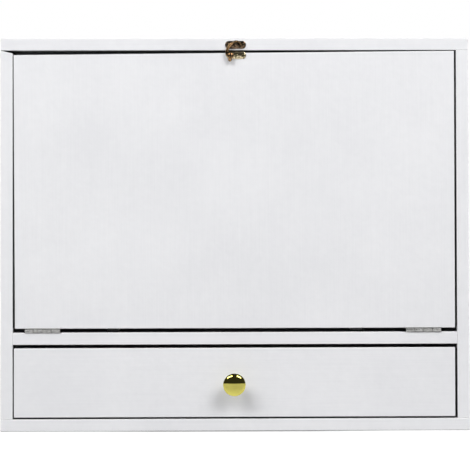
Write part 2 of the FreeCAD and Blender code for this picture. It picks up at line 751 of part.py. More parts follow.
# Flap stays
bracket_screws = []
guide_screws = []
stay_rivets = []
collar_front = f"({ROD_OPEN_LENGTH} + sleeve_length / 2 + stop_gap)"
rod_end = f"({collar_front} + collar_length)"
eye_half = "(stay_eye_thickness / 2)"
flap_face = "(-depth + panel)"
for side in SIDES:
    out = OUTWARD[side]
    plane = at(side, f"{INNER} - stay_inset")
    rod_pivot = (plane, *ROD_PIVOT)
    guide_pivot = (plane, *GUIDE_PIVOT)
    # Bracket on the flap: a foot, and an ear beside the rod's eye
    ear_near = f"{eye_half} + stay_side_gap"
    ear_far = f"({ear_near} + bracket_thickness)"
    ear_middle = along(rod_pivot, INWARD[side], f"({ear_near} + {ear_far}) / 2")
    name = f"{side}_stay_bracket"
    foot = (ear_middle[0], f"{flap_face} + bracket_thickness / 2", ROD_PIVOT[1])
    ear = (ear_middle[0], f"({flap_face} + {ROD_PIVOT[0]}) / 2", ROD_PIVOT[1])
    ear_reach = f"{ROD_PIVOT[0]} - {flap_face}"
    bracket = fuse(name + "_blank", [
        brick(name + "_foot", foot, ("bracket_width", "bracket_thickness", "bracket_height")),
        brick(name + "_ear", ear, ("bracket_thickness", ear_reach, "2 * stay_eye_radius")),
        bar(name + "_ear_end", rod_pivot, INWARD[side], ear_near, ear_far, "stay_eye_radius"),
    ])
    drill(bar(f"{side}_stay_eye", rod_pivot, INWARD[side], f"0 - {eye_half}", ear_far,
              "stay_pin_radius + fit"), name, f"{side}_stay_rod")
    for end, sign in (("upper", "+"), ("lower", "-")):
        rise = f"{ROD_PIVOT[1]} {sign} bracket_screw_offset"
        point = (ear_middle[0], f"{flap_face} + bracket_thickness", rise)
        bracket_screws.append(countersunk(f"{name}_{end}_screw", point, "-y", "small", (name, "flap")))
    drilled(name, bracket)
    stay_rivets.append(fuse(f"{side}_stay_rivet", [
        bar(f"{side}_stay_rivet_shank", rod_pivot, INWARD[side], f"0 - {eye_half} - stay_side_gap", ear_far,
            "stay_pin_radius"),
        bar(f"{side}_stay_rivet_head", rod_pivot, out, f"{eye_half} + stay_side_gap",
            f"{eye_half} + stay_side_gap + stay_pin_head_height", "stay_pin_head_radius"),
    ]))
    # Rod with its eye, and the stop collar at its far end
    name = f"{side}_stay_rod"
    rod = fuse(name + "_blank", [
        bar(name + "_eye", rod_pivot, out, f"0 - {eye_half}", eye_half, "stay_eye_radius"),
        sloped_bar(name + "_bar", plane, ROD_PIVOT, "stay_eye_radius / 2", rod_end, "stay_rod_radius"),
    ])
    drilled(name, rod)
    name = f"{side}_stop_collar"
    collar = sloped_bar(name + "_blank", plane, ROD_PIVOT, collar_front, rod_end, "collar_radius")
    bore = sloped_bar(name + "_bore", plane, ROD_PIVOT, collar_front, rod_end, "stay_rod_radius + fit")
    node(name, cut(name, collar, [bore]))
    # Guide that swivels in its plate on the side panel
    plate_near = "stay_inset - guide_plate_thickness"
    flange_near = "stay_inset - fit - sleeve_flange_thickness"
    name = f"{side}_stay_guide"
    half_sleeve = "sleeve_length / 2"
    guide = fuse(name + "_blank", [
        sloped_bar(name + "_sleeve", plane, GUIDE_PIVOT, f"0 - {half_sleeve}", half_sleeve, "sleeve_radius"),
        bar(name + "_pin", guide_pivot, out, "stay_rod_radius", "stay_inset - fit", "sleeve_pin_radius"),
        bar(name + "_flange", guide_pivot, out, flange_near, "stay_inset - fit", "sleeve_flange_radius"),
    ])
    bore = sloped_bar(name + "_bore", plane, GUIDE_PIVOT, f"0 - {half_sleeve}", half_sleeve,
                      "stay_rod_radius + sleeve_room")
    node(name, cut(name, guide, [bore]))
    name = f"{side}_guide_plate"
    plate_middle = along(guide_pivot, out, "stay_inset - guide_plate_thickness / 2")
    plate = brick(name + "_blank", plate_middle,
                  ("guide_plate_thickness", "guide_plate_width", "guide_plate_height"))
    drill(bar(name + "_hole", guide_pivot, out, plate_near, "stay_inset", "sleeve_pin_radius + fit"), name)
    drill(bar(name + "_sink", guide_pivot, out, f"{flange_near} - fit", "stay_inset",
              "sleeve_flange_radius + fit"), name)
    for end, sign in (("upper", "+"), ("lower", "-")):
        start = along(guide_pivot, out, plate_near)
        point = (start[0], start[1], f"{start[2]} {sign} guide_screw_offset")
        guide_screws.append(countersunk(f"{name}_{end}_screw", point, out, "small",
                                        (name, f"{side}_side_panel")))
    drilled(name, plate)
group("bracket_screws", bracket_screws)
group("guide_plate_screws", guide_screws)
group("stay_rivets", stay_rivets)

# Drawer box on side runners
BOX_BASE = f"({FLOOR} + drawer_gap_low + drawer_box_rise)"
BOX_OUTER = f"({INNER} - runner_gap)"
BOX_INNER = f"({INNER} - runner_gap - drawer_side)"
BOX_FRONT = "(-depth + panel)"
BOX_REAR = f"({REAR} - drawer_rear_gap)"
BOX_LENGTH = f"({BOX_REAR} - {BOX_FRONT})"
RUNNER_Z = f"({FLOOR} + runner_rise)"
RUNNER_FRONT = f"({BOX_FRONT} + runner_front_stop + stop_gap)"
RUNNER_REAR = f"({REAR} - runner_rear_gap)"
drawer_front = front_board("drawer_front", (f"-{INNER}", FLOOR), [
    ("drawer_gap_left", "drawer_gap_low"),
    (f"2 * {INNER} - drawer_gap_right", "drawer_gap_low"),
    (f"2 * {INNER} - drawer_gap_right", "drawer_opening - drawer_gap_high"),
    ("drawer_gap_left", "drawer_opening - drawer_gap_high"),
], "front_round")
drawer_back = box("drawer_back_board", (f"-{BOX_INNER}", f"{BOX_REAR} - drawer_side", BOX_BASE),
                  (f"2 * {BOX_INNER}", "drawer_side", "drawer_side_height"))
bottom_half = f"({BOX_INNER} + drawer_groove)"
bottom_length = f"{BOX_LENGTH} - drawer_side + 2 * drawer_groove"
bottom_base = f"{BOX_BASE} + drawer_bottom_rise"
bottom_front = f"{BOX_FRONT} - drawer_groove"
drill(box("drawer_bottom_groove", (f"-{bottom_half}", bottom_front, f"{bottom_base} - groove_room"),
          (f"2 * {bottom_half}", bottom_length, "drawer_bottom + 2 * groove_room")),
      "drawer_front", "drawer_back", "left_drawer_side", "right_drawer_side")
node("drawer_bottom", box(
    "drawer_bottom_sheet",
    (f"-{bottom_half} + groove_room", f"{bottom_front} + groove_room", bottom_base),
    (f"2 * {bottom_half} - 2 * groove_room", f"{bottom_length} - 2 * groove_room", "drawer_bottom"),
))
drawer_dowels = []
drawer_screws = []
runner_screws = []
for side in SIDES:
    name = f"{side}_drawer_side"
    low, thickness = span(side, BOX_INNER, BOX_OUTER)
    blank = box(name + "_board", (low, BOX_FRONT, BOX_BASE),
                (thickness, BOX_LENGTH, "drawer_side_height"))
    low, thickness = span(side, f"{BOX_OUTER} - runner_groove", f"{BOX_OUTER} + runner_gap")
    groove = (low, f"{BOX_FRONT} + runner_front_stop", f"{RUNNER_Z} - runner_low_room")
    groove_size = (thickness, BOX_LENGTH, "runner_height + runner_low_room + runner_top_room")
    drill(box(name + "_runner_groove", groove, groove_size), name)
    side_middle = at(side, f"({BOX_INNER} + {BOX_OUTER}) / 2")
    rises = {"lower": f"{BOX_BASE} + drawer_dowel_inset",
             "upper": f"{BOX_BASE} + drawer_side_height - drawer_dowel_inset"}
    for end, rise in rises.items():
        drawer_dowels.append(dowel(f"{name}_{end}_dowel", (side_middle, BOX_FRONT, rise), "+y",
                                   ("drawer_front", name), "drawer_dowel_radius", "drawer_dowel_depth",
                                   "drawer_dowel_depth"))
        point = (at(side, BOX_OUTER), f"{BOX_REAR} - drawer_side / 2", rise)
        drawer_screws.append(countersunk(f"{name}_{end}_screw", point, INWARD[side], "wood",
                                         (name, "drawer_back")))
    drilled(name, blank)
    name = f"{side}_drawer_runner"
    low, thickness = span(side, f"{BOX_OUTER} - runner_groove + runner_tip_room", INNER)
    runner = box(name + "_board", (low, RUNNER_FRONT, RUNNER_Z),
                 (thickness, f"{RUNNER_REAR} - {RUNNER_FRONT}", "runner_height"))
    tip = at(side, f"{BOX_OUTER} - runner_groove + runner_tip_room")
    ends = {"front": f"{RUNNER_FRONT} + runner_screw_inset", "rear": f"{RUNNER_REAR} - runner_screw_inset"}
    for end, y in ends.items():
        point = (tip, y, f"{RUNNER_Z} + runner_height / 2")
        runner_screws.append(countersunk(f"{name}_{end}_screw", point, OUTWARD[side], "wood",
                                         (name, f"{side}_side_panel")))
    drilled(name, runner)
group("drawer_dowels", drawer_dowels)
group("drawer_screws", drawer_screws)
group("runner_screws", runner_screws)
drilled("drawer_back", drawer_back)

# Knob and its screw, in the middle of the drawer front
KNOB_Z = f"({FLOOR} + (drawer_opening + drawer_gap_low - drawer_gap_high) / 2)"
knob_foot = ("0 - knob_offset", "-depth", KNOB_Z)
knob_head = along(knob_foot, "-y", "knob_projection - knob_half_depth")
dome = doc.addObject("Part::Ellipsoid", "knob_dome")
bind(dome, Radius1="knob_half_depth", Radius2="knob_radius", Radius3="knob_radius")
dome.Placement = FreeCAD.Placement(Vector(), TURNS["-y"])
place(dome, knob_head)
knob = fuse("drawer_knob_blank", [
    dome,
    bar("knob_neck", knob_foot, "-y", "0", "knob_projection - knob_half_depth", "knob_neck_radius"),
    taper("knob_foot", knob_foot, "-y", "0", "knob_foot_height", "knob_foot_radius", "knob_neck_radius"),
])
drill(bar("knob_screw_hole", knob_foot, "-y", "0 - panel", "knob_thread_depth + dowel_end_room",
          "knob_screw_radius + fit"), "drawer_knob", "drawer_front")
drilled("drawer_knob", knob)
node("knob_screw", fuse("knob_screw", [
    bar("knob_screw_shank", knob_foot, "-y", "0 - panel", "knob_thread_depth", "knob_screw_radius"),
    bar("knob_screw_head", knob_foot, "+y", "panel", "panel + knob_screw_head_height",
        "knob_screw_head_radius"),
]))
drilled("drawer_front", drawer_front)

# The flap itself, a board that fills its opening up to the gaps at its corners
opening_width = f"2 * {INNER}"
opening_height = f"({TOP_BASE} - {SHELF_TOP})"
flap_foot = "hinge_rise + knuckle_radius"
flap_board = front_board("flap", (f"-{INNER}", SHELF_TOP), [
    ("flap_left_gap_low", flap_foot),
    (f"{opening_width} - flap_right_gap_low", flap_foot),
    (f"{opening_width} - flap_right_gap_high", f"{opening_height} - flap_top_gap_right"),
    ("flap_left_gap_high", f"{opening_height} - flap_top_gap_left"),
], "front_round")
drilled("flap", flap_board)

# Case boards with all their bores
drilled("top_panel", top)
drilled("bottom_panel", bottom)
drilled("desk_shelf", shelf)
drilled("inner_shelf", inner_shelf)
drilled("hanging_rail", rail)
drilled("back_panel", back)
for side in SIDES:
    drilled(f"{side}_side_panel", side_boards[side])
    drilled(f"{side}_divider", divider_boards[side])

doc.recompute()

faults = [item.Label for item in doc.Objects if "Invalid" in item.State or "Error" in item.State]
for item in nodes:
    if item.Shape.isNull() or not item.Shape.isValid():
        faults.append(item.Label)
if faults:
    raise RuntimeError("not built: " + ", ".join(faults))

os.makedirs("parts", exist_ok=True)
for item in nodes:
    item.Shape.exportStep(f"parts/{item.Label}.step")
    print(item.Label, len(item.Shape.Solids), round(item.Shape.Volume, 1))
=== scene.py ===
import json
import math

import bmesh
import bpy
from mathutils import Matrix, Vector


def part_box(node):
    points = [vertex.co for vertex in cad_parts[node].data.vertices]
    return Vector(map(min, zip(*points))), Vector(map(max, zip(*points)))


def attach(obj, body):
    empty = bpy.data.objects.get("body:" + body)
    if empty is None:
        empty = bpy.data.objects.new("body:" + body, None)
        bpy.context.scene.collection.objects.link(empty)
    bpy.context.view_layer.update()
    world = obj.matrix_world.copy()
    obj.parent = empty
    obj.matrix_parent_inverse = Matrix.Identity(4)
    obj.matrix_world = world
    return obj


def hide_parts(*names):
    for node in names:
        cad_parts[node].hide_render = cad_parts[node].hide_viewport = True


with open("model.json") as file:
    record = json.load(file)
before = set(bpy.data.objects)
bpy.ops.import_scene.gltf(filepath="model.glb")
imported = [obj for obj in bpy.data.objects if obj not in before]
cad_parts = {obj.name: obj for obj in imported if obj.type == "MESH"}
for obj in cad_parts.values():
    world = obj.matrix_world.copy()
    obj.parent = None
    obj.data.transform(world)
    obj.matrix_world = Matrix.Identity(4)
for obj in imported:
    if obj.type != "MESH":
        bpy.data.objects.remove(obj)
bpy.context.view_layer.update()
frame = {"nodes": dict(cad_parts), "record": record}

# The frame is in metres. Hardware is drawn in millimetres and then scaled.
MM = 0.001
TO_METRES = Matrix.Scale(MM, 4)
OUT_FRONT = Matrix.Rotation(math.radians(90), 4, "X")
X, Y, Z = 0, 1, 2

nodes = frame["nodes"]
record = frame["record"]
NODE_BODY = {node: body for body, names in record["behaviour"]["bodies"].items() for node in names}
NODE_SLOT = {part["node"]: part["material_slot"] for part in record["subparts"]}
JOINT_AT = {joint["name"]: joint.get("pos_m") for joint in record["behaviour"]["joints"]}
CASE_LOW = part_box("bottom_panel")[0]
CASE_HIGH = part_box("top_panel")[1]
FRONT = CASE_LOW.y

scene = bpy.context.scene
scene.view_settings.view_transform = "Standard"


# Materials

class Graph:
    """A small writer of node trees: most calls add one node and return one of its outputs."""

    def __init__(self, tree):
        self.tree = tree
        tree.nodes.clear()

    def set(self, node, name, value):
        socket = node.inputs[name]
        if isinstance(value, bpy.types.NodeSocket):
            self.tree.links.new(value, socket)
        else:
            socket.default_value = value

    def add(self, kind, inputs=None, out=0, **settings):
        node = self.tree.nodes.new(kind)
        for name, value in settings.items():
            setattr(node, name, value)
        for name, value in (inputs or {}).items():
            self.set(node, name, value)
        return node.outputs[out]

    def math(self, operation, *values):
        return self.add("ShaderNodeMath", dict(enumerate(values)), operation=operation)

    def times(self, first, second):
        return self.math("MULTIPLY", first, second)

    def plus(self, first, second, share):
        """The first value and a share of the second."""
        return self.math("ADD", first, self.times(second, share))

    def place(self):
        return self.add("ShaderNodeTexCoord", out="Object")

    def stretched(self, scale):
        return self.add("ShaderNodeMapping", {"Vector": self.place(), "Scale": scale})

    def split(self, vector):
        """The X, Y and Z outputs of a vector, by name or number."""
        return self.add("ShaderNodeSeparateXYZ", {"Vector": vector}).node.outputs

    def noise(self, scale, detail=2.0, rough=0.5, vector=None, distortion=0.0):
        return self.add("ShaderNodeTexNoise", {
            "Vector": vector or self.place(), "Scale": scale, "Detail": detail, "Roughness": rough,
            "Distortion": distortion})

    def ramp(self, value, low, high, out_low=0.0, out_high=1.0):
        return self.add("ShaderNodeMapRange", {
            "Value": value, "From Min": low, "From Max": high, "To Min": out_low, "To Max": out_high})

    def mix(self, factor, first, second):
        """A mix of two colours: inputs 6 and 7 and output 2 are the node's colour sockets."""
        return self.add("ShaderNodeMix", {0: factor, 6: first, 7: second}, out=2, data_type="RGBA")

    def open_sky(self, distance):
        """1 in the open, less where other surfaces stand closer than the distance."""
        return self.add("ShaderNodeAmbientOcclusion", {"Distance": distance}, out="AO", samples=12)

    def bump(self, height, distance, strength, normal=None):
        inputs = {"Height": height, "Distance": distance, "Strength": strength}
        if normal is not None:
            inputs["Normal"] = normal
        return self.add("ShaderNodeBump", inputs)

    def end(self, shader, kind="ShaderNodeOutputMaterial"):
        output = self.tree.nodes.new(kind)
        self.tree.links.new(shader, output.inputs["Surface"])

    def surface(self, **inputs):
        self.end(self.add("ShaderNodeBsdfPrincipled",
                          {name.replace("_", " "): value for name, value in inputs.items()}))


def new_material(name):
    """A new material and the graph of its nodes."""
    material = bpy.data.materials.new(name)
    material.use_nodes = True
    return material, Graph(material.node_tree)


def rgb(r, g, b):
    """A colour in the form that the nodes take."""
    return (r, g, b, 1.0)


def dress(node, material):
    """Give a CAD node one material."""
    item = nodes[node]
    item.data.materials.clear()
    item.data.materials.append(material)


def arris_mask(g, low, high, width):
    """1 on the arrises of a board, 0 on its faces, from the board's own box."""
    here = g.split(g.place())
    a, b, c = [g.math("MINIMUM", g.math("SUBTRACT", here[axis], low[axis]),
                      g.math("SUBTRACT", high[axis], here[axis])) for axis in (X, Y, Z)]
    # Of the depths under the three pairs of faces, the middle one is small only where two faces meet.
    middle = g.math("MAXIMUM", g.math("MINIMUM", a, b), g.math("MINIMUM", g.math("MAXIMUM", a, b), c))
    return g.ramp(middle, width, 0.0)


PAINT_DULL, PAINT_CLEAN = rgb(0.775, 0.778, 0.8), rgb(0.83, 0.832, 0.85)
ARRIS_HIGHLIGHT_AND_WEAR = rgb(0.86, 0.86, 0.87)
PAINTED_GAP_SHADE = rgb(0.05, 0.049, 0.048)
ARRIS_WIDTH = 2.2 * MM
GAP_SHADE_REACH = 14 * MM
STREAK_ACROSS, STREAK_ALONG = 160.0, 3.0


def white_paint(name, low, high, along):
    """White paint with faint mottling, streaks along the board, a painted highlight with rubbed wear on the
    arrises and painted shade in narrow gaps.
    """
    material, g = new_material(name)
    stretch = [STREAK_ACROSS] * 3
    stretch[along] = STREAK_ALONG
    cloud = g.noise(9.0, 3.0, 0.55)
    blotch = g.noise(95.0, 3.0, 0.6)
    streak = g.noise(4.0, 3.0, vector=g.stretched(stretch))
    tone = g.plus(g.plus(g.times(cloud, 0.5), blotch, 0.25), streak, 0.25)
    colour = g.mix(g.ramp(tone, 0.36, 0.64), PAINT_DULL, PAINT_CLEAN)
    # Paler arrises: a painted highlight along the edges, patchy like rubbed wear.
    highlight_and_wear = g.ramp(g.noise(60.0, 3.0), 0.3, 0.7, 0.35, 0.9)
    colour = g.mix(g.times(arris_mask(g, low, high, ARRIS_WIDTH), highlight_and_wear), colour, ARRIS_HIGHLIGHT_AND_WEAR)
    # Painted shade: the colour goes near black where other surfaces stand close, as in the narrow gaps.
    colour = g.mix(g.ramp(g.open_sky(GAP_SHADE_REACH), 0.5, 0.22), colour, PAINTED_GAP_SHADE)
    ripple = g.noise(55.0)
    peel = g.noise(620.0)
    normal = g.bump(ripple, 1.1 * MM, 0.35)
    normal = g.bump(peel, 0.09 * MM, 0.5, normal)
    normal = g.bump(streak, 0.06 * MM, 0.6, normal)
    rough = g.ramp(g.plus(blotch, streak, 0.5), 0.5, 1.0, 0.36, 0.5)
    g.surface(Base_Color=colour, Roughness=rough, Normal=normal, IOR=1.47)
    return material


def hardboard(name):
    """Thin sheet: painted white inside, with the brown screen-pressed face towards the wall."""
    material, g = new_material(name)
    facing = g.split(g.add("ShaderNodeNewGeometry", out="True Normal"))["Y"]
    back = g.math("GREATER_THAN", facing, 0.5)
    fibre = g.noise(700.0, 4.0, 0.7, distortion=0.6)
    brown = g.mix(g.ramp(g.plus(fibre, g.noise(25.0, 3.0), 0.5), 0.5, 1.0),
                  rgb(0.17, 0.09, 0.042), rgb(0.33, 0.19, 0.095))
    white = g.mix(g.ramp(g.noise(90.0, 3.0), 0.35, 0.65), rgb(0.75, 0.752, 0.77), rgb(0.8, 0.8, 0.815))
    weave_x, weave_z = [
        g.add("ShaderNodeTexWave", {"Vector": g.place(), "Scale": 190.0, "Distortion": 0.3}, out="Fac",
              bands_direction=axis) for axis in "XZ"]
    screen = g.times(g.times(weave_x, weave_z), back)
    bumped = g.bump(g.plus(screen, fibre, 0.3), 0.25 * MM, 0.6)
    g.surface(Base_Color=g.mix(back, white, brown), Roughness=g.ramp(back, 0, 1, 0.45, 0.8), Normal=bumped)
    return material


def beech(name, along):
    """Bare beech with fine pores and short flecks along the grain."""
    material, g = new_material(name)
    stretch = [1.0, 1.0, 1.0]
    stretch[along] = 0.06
    grain = g.noise(260.0, 5.0, 0.6, g.stretched(stretch), 0.5)
    flecks = g.noise(1500.0, vector=g.stretched(stretch))
    band = g.noise(30.0, 3.0, vector=g.stretched(stretch))
    colour = g.mix(g.ramp(grain, 0.3, 0.7), rgb(0.5, 0.315, 0.16), rgb(0.66, 0.45, 0.26))
    colour = g.mix(g.ramp(band, 0.35, 0.75, 0.0, 0.5), colour, rgb(0.58, 0.36, 0.19))
    colour = g.mix(g.ramp(flecks, 0.62, 0.75, 0.0, 0.6), colour, rgb(0.33, 0.18, 0.085))
    normal = g.bump(g.plus(grain, flecks, 0.5), 0.1 * MM, 0.5)
    g.surface(Base_Color=colour, Roughness=g.ramp(grain, 0.3, 0.7, 0.5, 0.66), Normal=normal)
    return material


def plated(name, bright, dull, rough, tarnish, scale, fine=0.02 * MM):
    """Plated metal with a cloudy tone, fine rubbing marks and specks of tarnish."""
    material, g = new_material(name)
    cloud = g.noise(scale, 4.0, 0.6)
    specks = g.noise(scale * 7.0, 3.0, 0.6)
    rub = g.noise(900.0, vector=g.stretched((1.0, 0.25, 0.12)))
    shade = g.plus(g.times(cloud, 0.75), specks, 0.25)
    colour = g.mix(g.ramp(shade, 0.38, 0.62, 0.0, tarnish), bright, dull)
    level = g.ramp(g.plus(specks, rub, 0.6), 0.5, 1.1, rough * 0.7, rough * 1.5)
    normal = g.bump(g.plus(rub, cloud, 0.6), fine, 0.5)
    g.surface(Base_Color=colour, Metallic=1.0, Roughness=level, Normal=normal)
    return material


def old_bronze(name, copper, olive, dark, rough, worn):
    """Antique bronze: copper and olive tones in clouds under patches of dull, dark patina."""
    material, g = new_material(name)
    cloud = g.noise(330.0, 3.0, 0.55, distortion=0.4)
    specks = g.noise(1300.0, 3.0, 0.65)
    tint = g.mix(g.ramp(cloud, 0.4, 0.6), copper, olive)
    patches = g.plus(g.times(specks, 0.5), cloud, 0.9)
    patina = g.ramp(patches, worn, worn + 0.12)
    level = g.ramp(patina, 0.0, 1.0, rough, rough * 2.4)
    normal = g.bump(g.math("ADD", specks, cloud), 0.04 * MM, 0.35)
    g.surface(Base_Color=g.mix(patina, tint, dark), Metallic=1.0, Roughness=level, Normal=normal)
    return material


gold = plated("gold_plate", bright=rgb(0.54, 0.49, 0.12), dull=rgb(0.46, 0.41, 0.1),
              rough=0.05, tarnish=0.6, scale=90.0, fine=0.004 * MM)
bronze = old_bronze("antique_bronze", copper=rgb(0.46, 0.27, 0.13), olive=rgb(0.32, 0.23, 0.115),
                    dark=rgb(0.07, 0.042, 0.022), rough=0.1, worn=0.66)
# Painted light: a lighter copy of the antique bronze, for the hook plate and its screws.
bronze_painted_light = old_bronze("bronze_painted_light", copper=rgb(0.72, 0.62, 0.42), olive=rgb(0.52, 0.46, 0.28),
                         dark=rgb(0.08, 0.07, 0.035), rough=0.15, worn=0.66)
# Painted shade: a darker copy of the antique bronze, for the keeper plate and its screws.
bronze_painted_shade = old_bronze("bronze_painted_shade", copper=rgb(0.2, 0.13, 0.08), olive=rgb(0.15, 0.115, 0.075),
                         dark=rgb(0.05, 0.036, 0.024), rough=0.14, worn=0.64)
nickel = plated("nickel_plate", bright=rgb(0.52, 0.517, 0.505), dull=rgb(0.26, 0.26, 0.25),
                rough=0.3, tarnish=0.75, scale=300.0)
zinc = plated("zinc_plate", bright=rgb(0.62, 0.63, 0.64), dull=rgb(0.42, 0.43, 0.44),
              rough=0.34, tarnish=0.7, scale=350.0)
stay_steel = plated("stay_steel", bright=rgb(0.64, 0.64, 0.63), dull=rgb(0.44, 0.44, 0.43),
                    rough=0.22, tarnish=0.5, scale=200.0)

# The way that the brush streaks run on each board
BOARD_STREAKS = {
    "top_panel": X, "bottom_panel": X, "desk_shelf": X, "inner_shelf": X, "hanging_rail": X, "flap": Z,
    "drawer_front": X, "drawer_back": X, "left_side_panel": Z, "right_side_panel": Z, "left_divider": Z,
    "right_divider": Z, "left_drawer_side": Y, "right_drawer_side": Y,
}
for board, along in BOARD_STREAKS.items():
    dress(board, white_paint(f"white_paint_{board}", *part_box(board), along))
sheet_material = hardboard("white_faced_hardboard")
for sheet in ("back_panel", "drawer_bottom"):
    dress(sheet, sheet_material)
bare_wood = beech("beech_along_depth", Y)
for wooden in ("left_drawer_runner", "right_drawer_runner", "drawer_dowels", "dowels"):
    dress(wooden, bare_wood)
SLOT_MATERIALS = {"polished_brass": gold, "antique_brass": bronze, "nickel": nickel, "zinc": zinc,
                  "stay_steel": stay_steel}
for node, slot in NODE_SLOT.items():
    if slot in SLOT_MATERIALS:
        dress(node, SLOT_MATERIALS[slot])


# Mesh tools

SMOOTH_BELOW = math.radians(38)


def stand_in(name, work, material, node):
    """Make a piece from a bmesh in the place of a CAD node, on its body and with the given material."""
    bmesh.ops.recalc_face_normals(work, faces=work.faces)
    mesh = bpy.data.meshes.new(name)
    work.to_mesh(mesh)
    work.free()
    mesh.polygons.foreach_set("use_smooth", [True] * len(mesh.polygons))
    mesh.set_sharp_from_angle(angle=SMOOTH_BELOW)
    mesh.materials.append(material)
    item = bpy.data.objects.new(name, mesh)
    scene.collection.objects.link(item)
    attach(item, NODE_BODY[node])
    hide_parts(node)


def front_place(x, y, z):
    """Matrix that sets millimetres in place at a point in metres, with +Z out of the front."""
    return Matrix.Translation((x, y, z)) @ OUT_FRONT @ TO_METRES


def front_middle(low, high):
    """The same at the middle of a box's rear face."""
    return front_place((low.x + high.x) / 2, high.y, (low.z + high.z) / 2)


def turns_of(count):
    """Angles of evenly spaced points round a circle."""
    return [2 * math.pi * k / count for k in range(count)]


def circle(work, radius, height, count):
    """A loop of points round +Z, or one point where the radius is nothing."""
    if radius < 1e-7:
        return [work.verts.new((0, 0, height))]
    return [work.verts.new((radius * math.cos(t), radius * math.sin(t), height)) for t in turns_of(count)]


def bridge(work, first, second):
    """Faces between two loops of the same count, or between a loop and a point."""
    count = max(len(first), len(second))
    for k in range(count):
        j = (k + 1) % count
        corners = [first[k % len(first)], first[j % len(first)],
                   second[j % len(second)], second[k % len(second)]]
        corners = list(dict.fromkeys(corners))
        if len(corners) > 2:
            work.faces.new(corners)


def bridge_all(work, loops):
    """Faces between each loop and the next."""
    for first, second in zip(loops, loops[1:]):
        bridge(work, first, second)


def lathe(work, profile, count, matrix):
    """Turn (radius, height) points round +Z into faces and set them in place by the matrix."""
    rings = [circle(work, radius, height, count) for radius, height in profile]
    bridge_all(work, rings)
    bmesh.ops.transform(work, matrix=matrix, verts=[vert for ring in rings for vert in ring])


def arc(centre_radius, centre_height, radius, start, end, steps):
    """Profile points on an arc between two tilts from the axis, without the last."""
    tilts = [start + (end - start) * step / steps for step in range(steps)]
    return [(centre_radius + radius * math.sin(t), centre_height + radius * math.cos(t)) for t in tilts]


def zip_loops(work, inner, outer):
    """Triangles between two loops round the Z axis that have different counts."""
    def turn(vert):
        return math.atan2(vert.co.y, vert.co.x) % (2 * math.pi)
    inner = sorted(inner, key=turn)
    outer = sorted(outer, key=turn)
    in_turns = [turn(vert) for vert in inner] + [turn(inner[0]) + 2 * math.pi]
    out_turns = [turn(vert) for vert in outer] + [turn(outer[0]) + 2 * math.pi]
    i = j = 0
    while i < len(inner) or j < len(outer):
        if j == len(outer) or (i < len(inner) and in_turns[i + 1] <= out_turns[j + 1]):
            work.faces.new((inner[i], outer[j % len(outer)], inner[(i + 1) % len(inner)]))
            i += 1
        else:
            work.faces.new((inner[i % len(inner)], outer[j], outer[(j + 1) % len(outer)]))
            j += 1


def pillow(work, length, height, edge, crown, matrix):
    """A pressed plate with half-round ends and a crowned face, standing on the XY plane."""
    edge_round = ((0.0, 0.0), (0.0, 0.5), (0.15, 0.82), (0.45, 1.0))
    crown_shares = (0.93, 0.85, 0.74, 0.62, 0.48, 0.34, 0.2, 0.06)
    end_steps = 20
    radius = height / 2
    half = length / 2 - radius
    profile = [(radius - edge * inward, edge * up) for inward, up in edge_round]
    shoulder = profile[-1][0]
    profile += [(shoulder * t, edge + (crown - edge) * (1 - t * t)) for t in crown_shares]
    loops = []
    for r, z in profile:
        loop = []
        for side in (1, -1):
            for k in range(end_steps + 1):
                turn = math.pi * k / end_steps - math.pi / 2
                x, y = half + r * math.cos(turn), r * math.sin(turn)
                loop.append(work.verts.new((side * x, side * y, z)))
        loops.append(loop)
    work.faces.new(loops[0])
    bridge_all(work, loops)
    work.faces.new(loops[-1])
    bmesh.ops.transform(work, matrix=matrix, verts=[vert for loop in loops for vert in loop])


# Screws

# Outlines of the recess for a head with the radius RECESS_HEAD
CROSS_RECESS = [(3.0, 1.0), (1.0, 1.0), (1.0, 3.0), (-1.0, 3.0), (-1.0, 1.0), (-3.0, 1.0),
                (-3.0, -1.0), (-1.0, -1.0), (-1.0, -3.0), (1.0, -3.0), (1.0, -1.0), (3.0, -1.0)]
SLOT_RECESS = [(4.2, 0.6), (-4.2, 0.6), (-4.2, -0.6), (4.2, -0.6)]
RECESS_HEAD = 5.2
RECESS_TAPER = 0.75
SCREW_SIDES = 32
HEAD_SHARES = (0.86, 0.95, 1.0)
HEAD_LAND = 0.12
# Shares of the shank's radius
NECK, THREAD_ROOT, TIP = 0.8, 0.72, 0.7
THREAD_PITCH = 0.85
# Shares of the pitch
FLANK, BACK_FLANK = 0.45, 0.2
THREAD_END, TIP_LENGTH = 2.2, 1.8
# The points end a little before those of the CAD, and each screw is turned a step further, in degrees
POINT_ROOM = 0.3
FIRST_TURN, TURN_STEP = 17, 41

LATCH_SCREW = {"head": 2.1, "shank": 1.1, "sink": 0.7, "crown": 0.55, "recess": SLOT_RECESS, "depth": 0.6}
SMALL_SCREW = {"head": 2.5, "shank": 1.3, "sink": 1.2, "crown": 0.2, "recess": CROSS_RECESS, "depth": 0.7}
BOX_SCREW = {"head": 3.5, "shank": 1.75, "sink": 2.2, "crown": 0.2, "recess": CROSS_RECESS, "depth": 1.1}


def solids_of(node):
    """The separate solids of a CAD node, each as a list of points."""
    work = bmesh.new()
    work.from_mesh(nodes[node].data)
    bmesh.ops.remove_doubles(work, verts=work.verts, dist=1e-6)
    left = set(work.verts)
    solids = []
    while left:
        found = []
        queue = [left.pop()]
        while queue:
            vert = queue.pop()
            found.append(vert.co.copy())
            for edge in vert.link_edges:
                other = edge.other_vert(vert)
                if other in left:
                    left.remove(other)
                    queue.append(other)
        solids.append(found)
    work.free()

    def middle(points):
        return tuple(round(sum(p[i] for p in points) / len(points), 5) for i in range(3))
    return sorted(solids, key=middle)


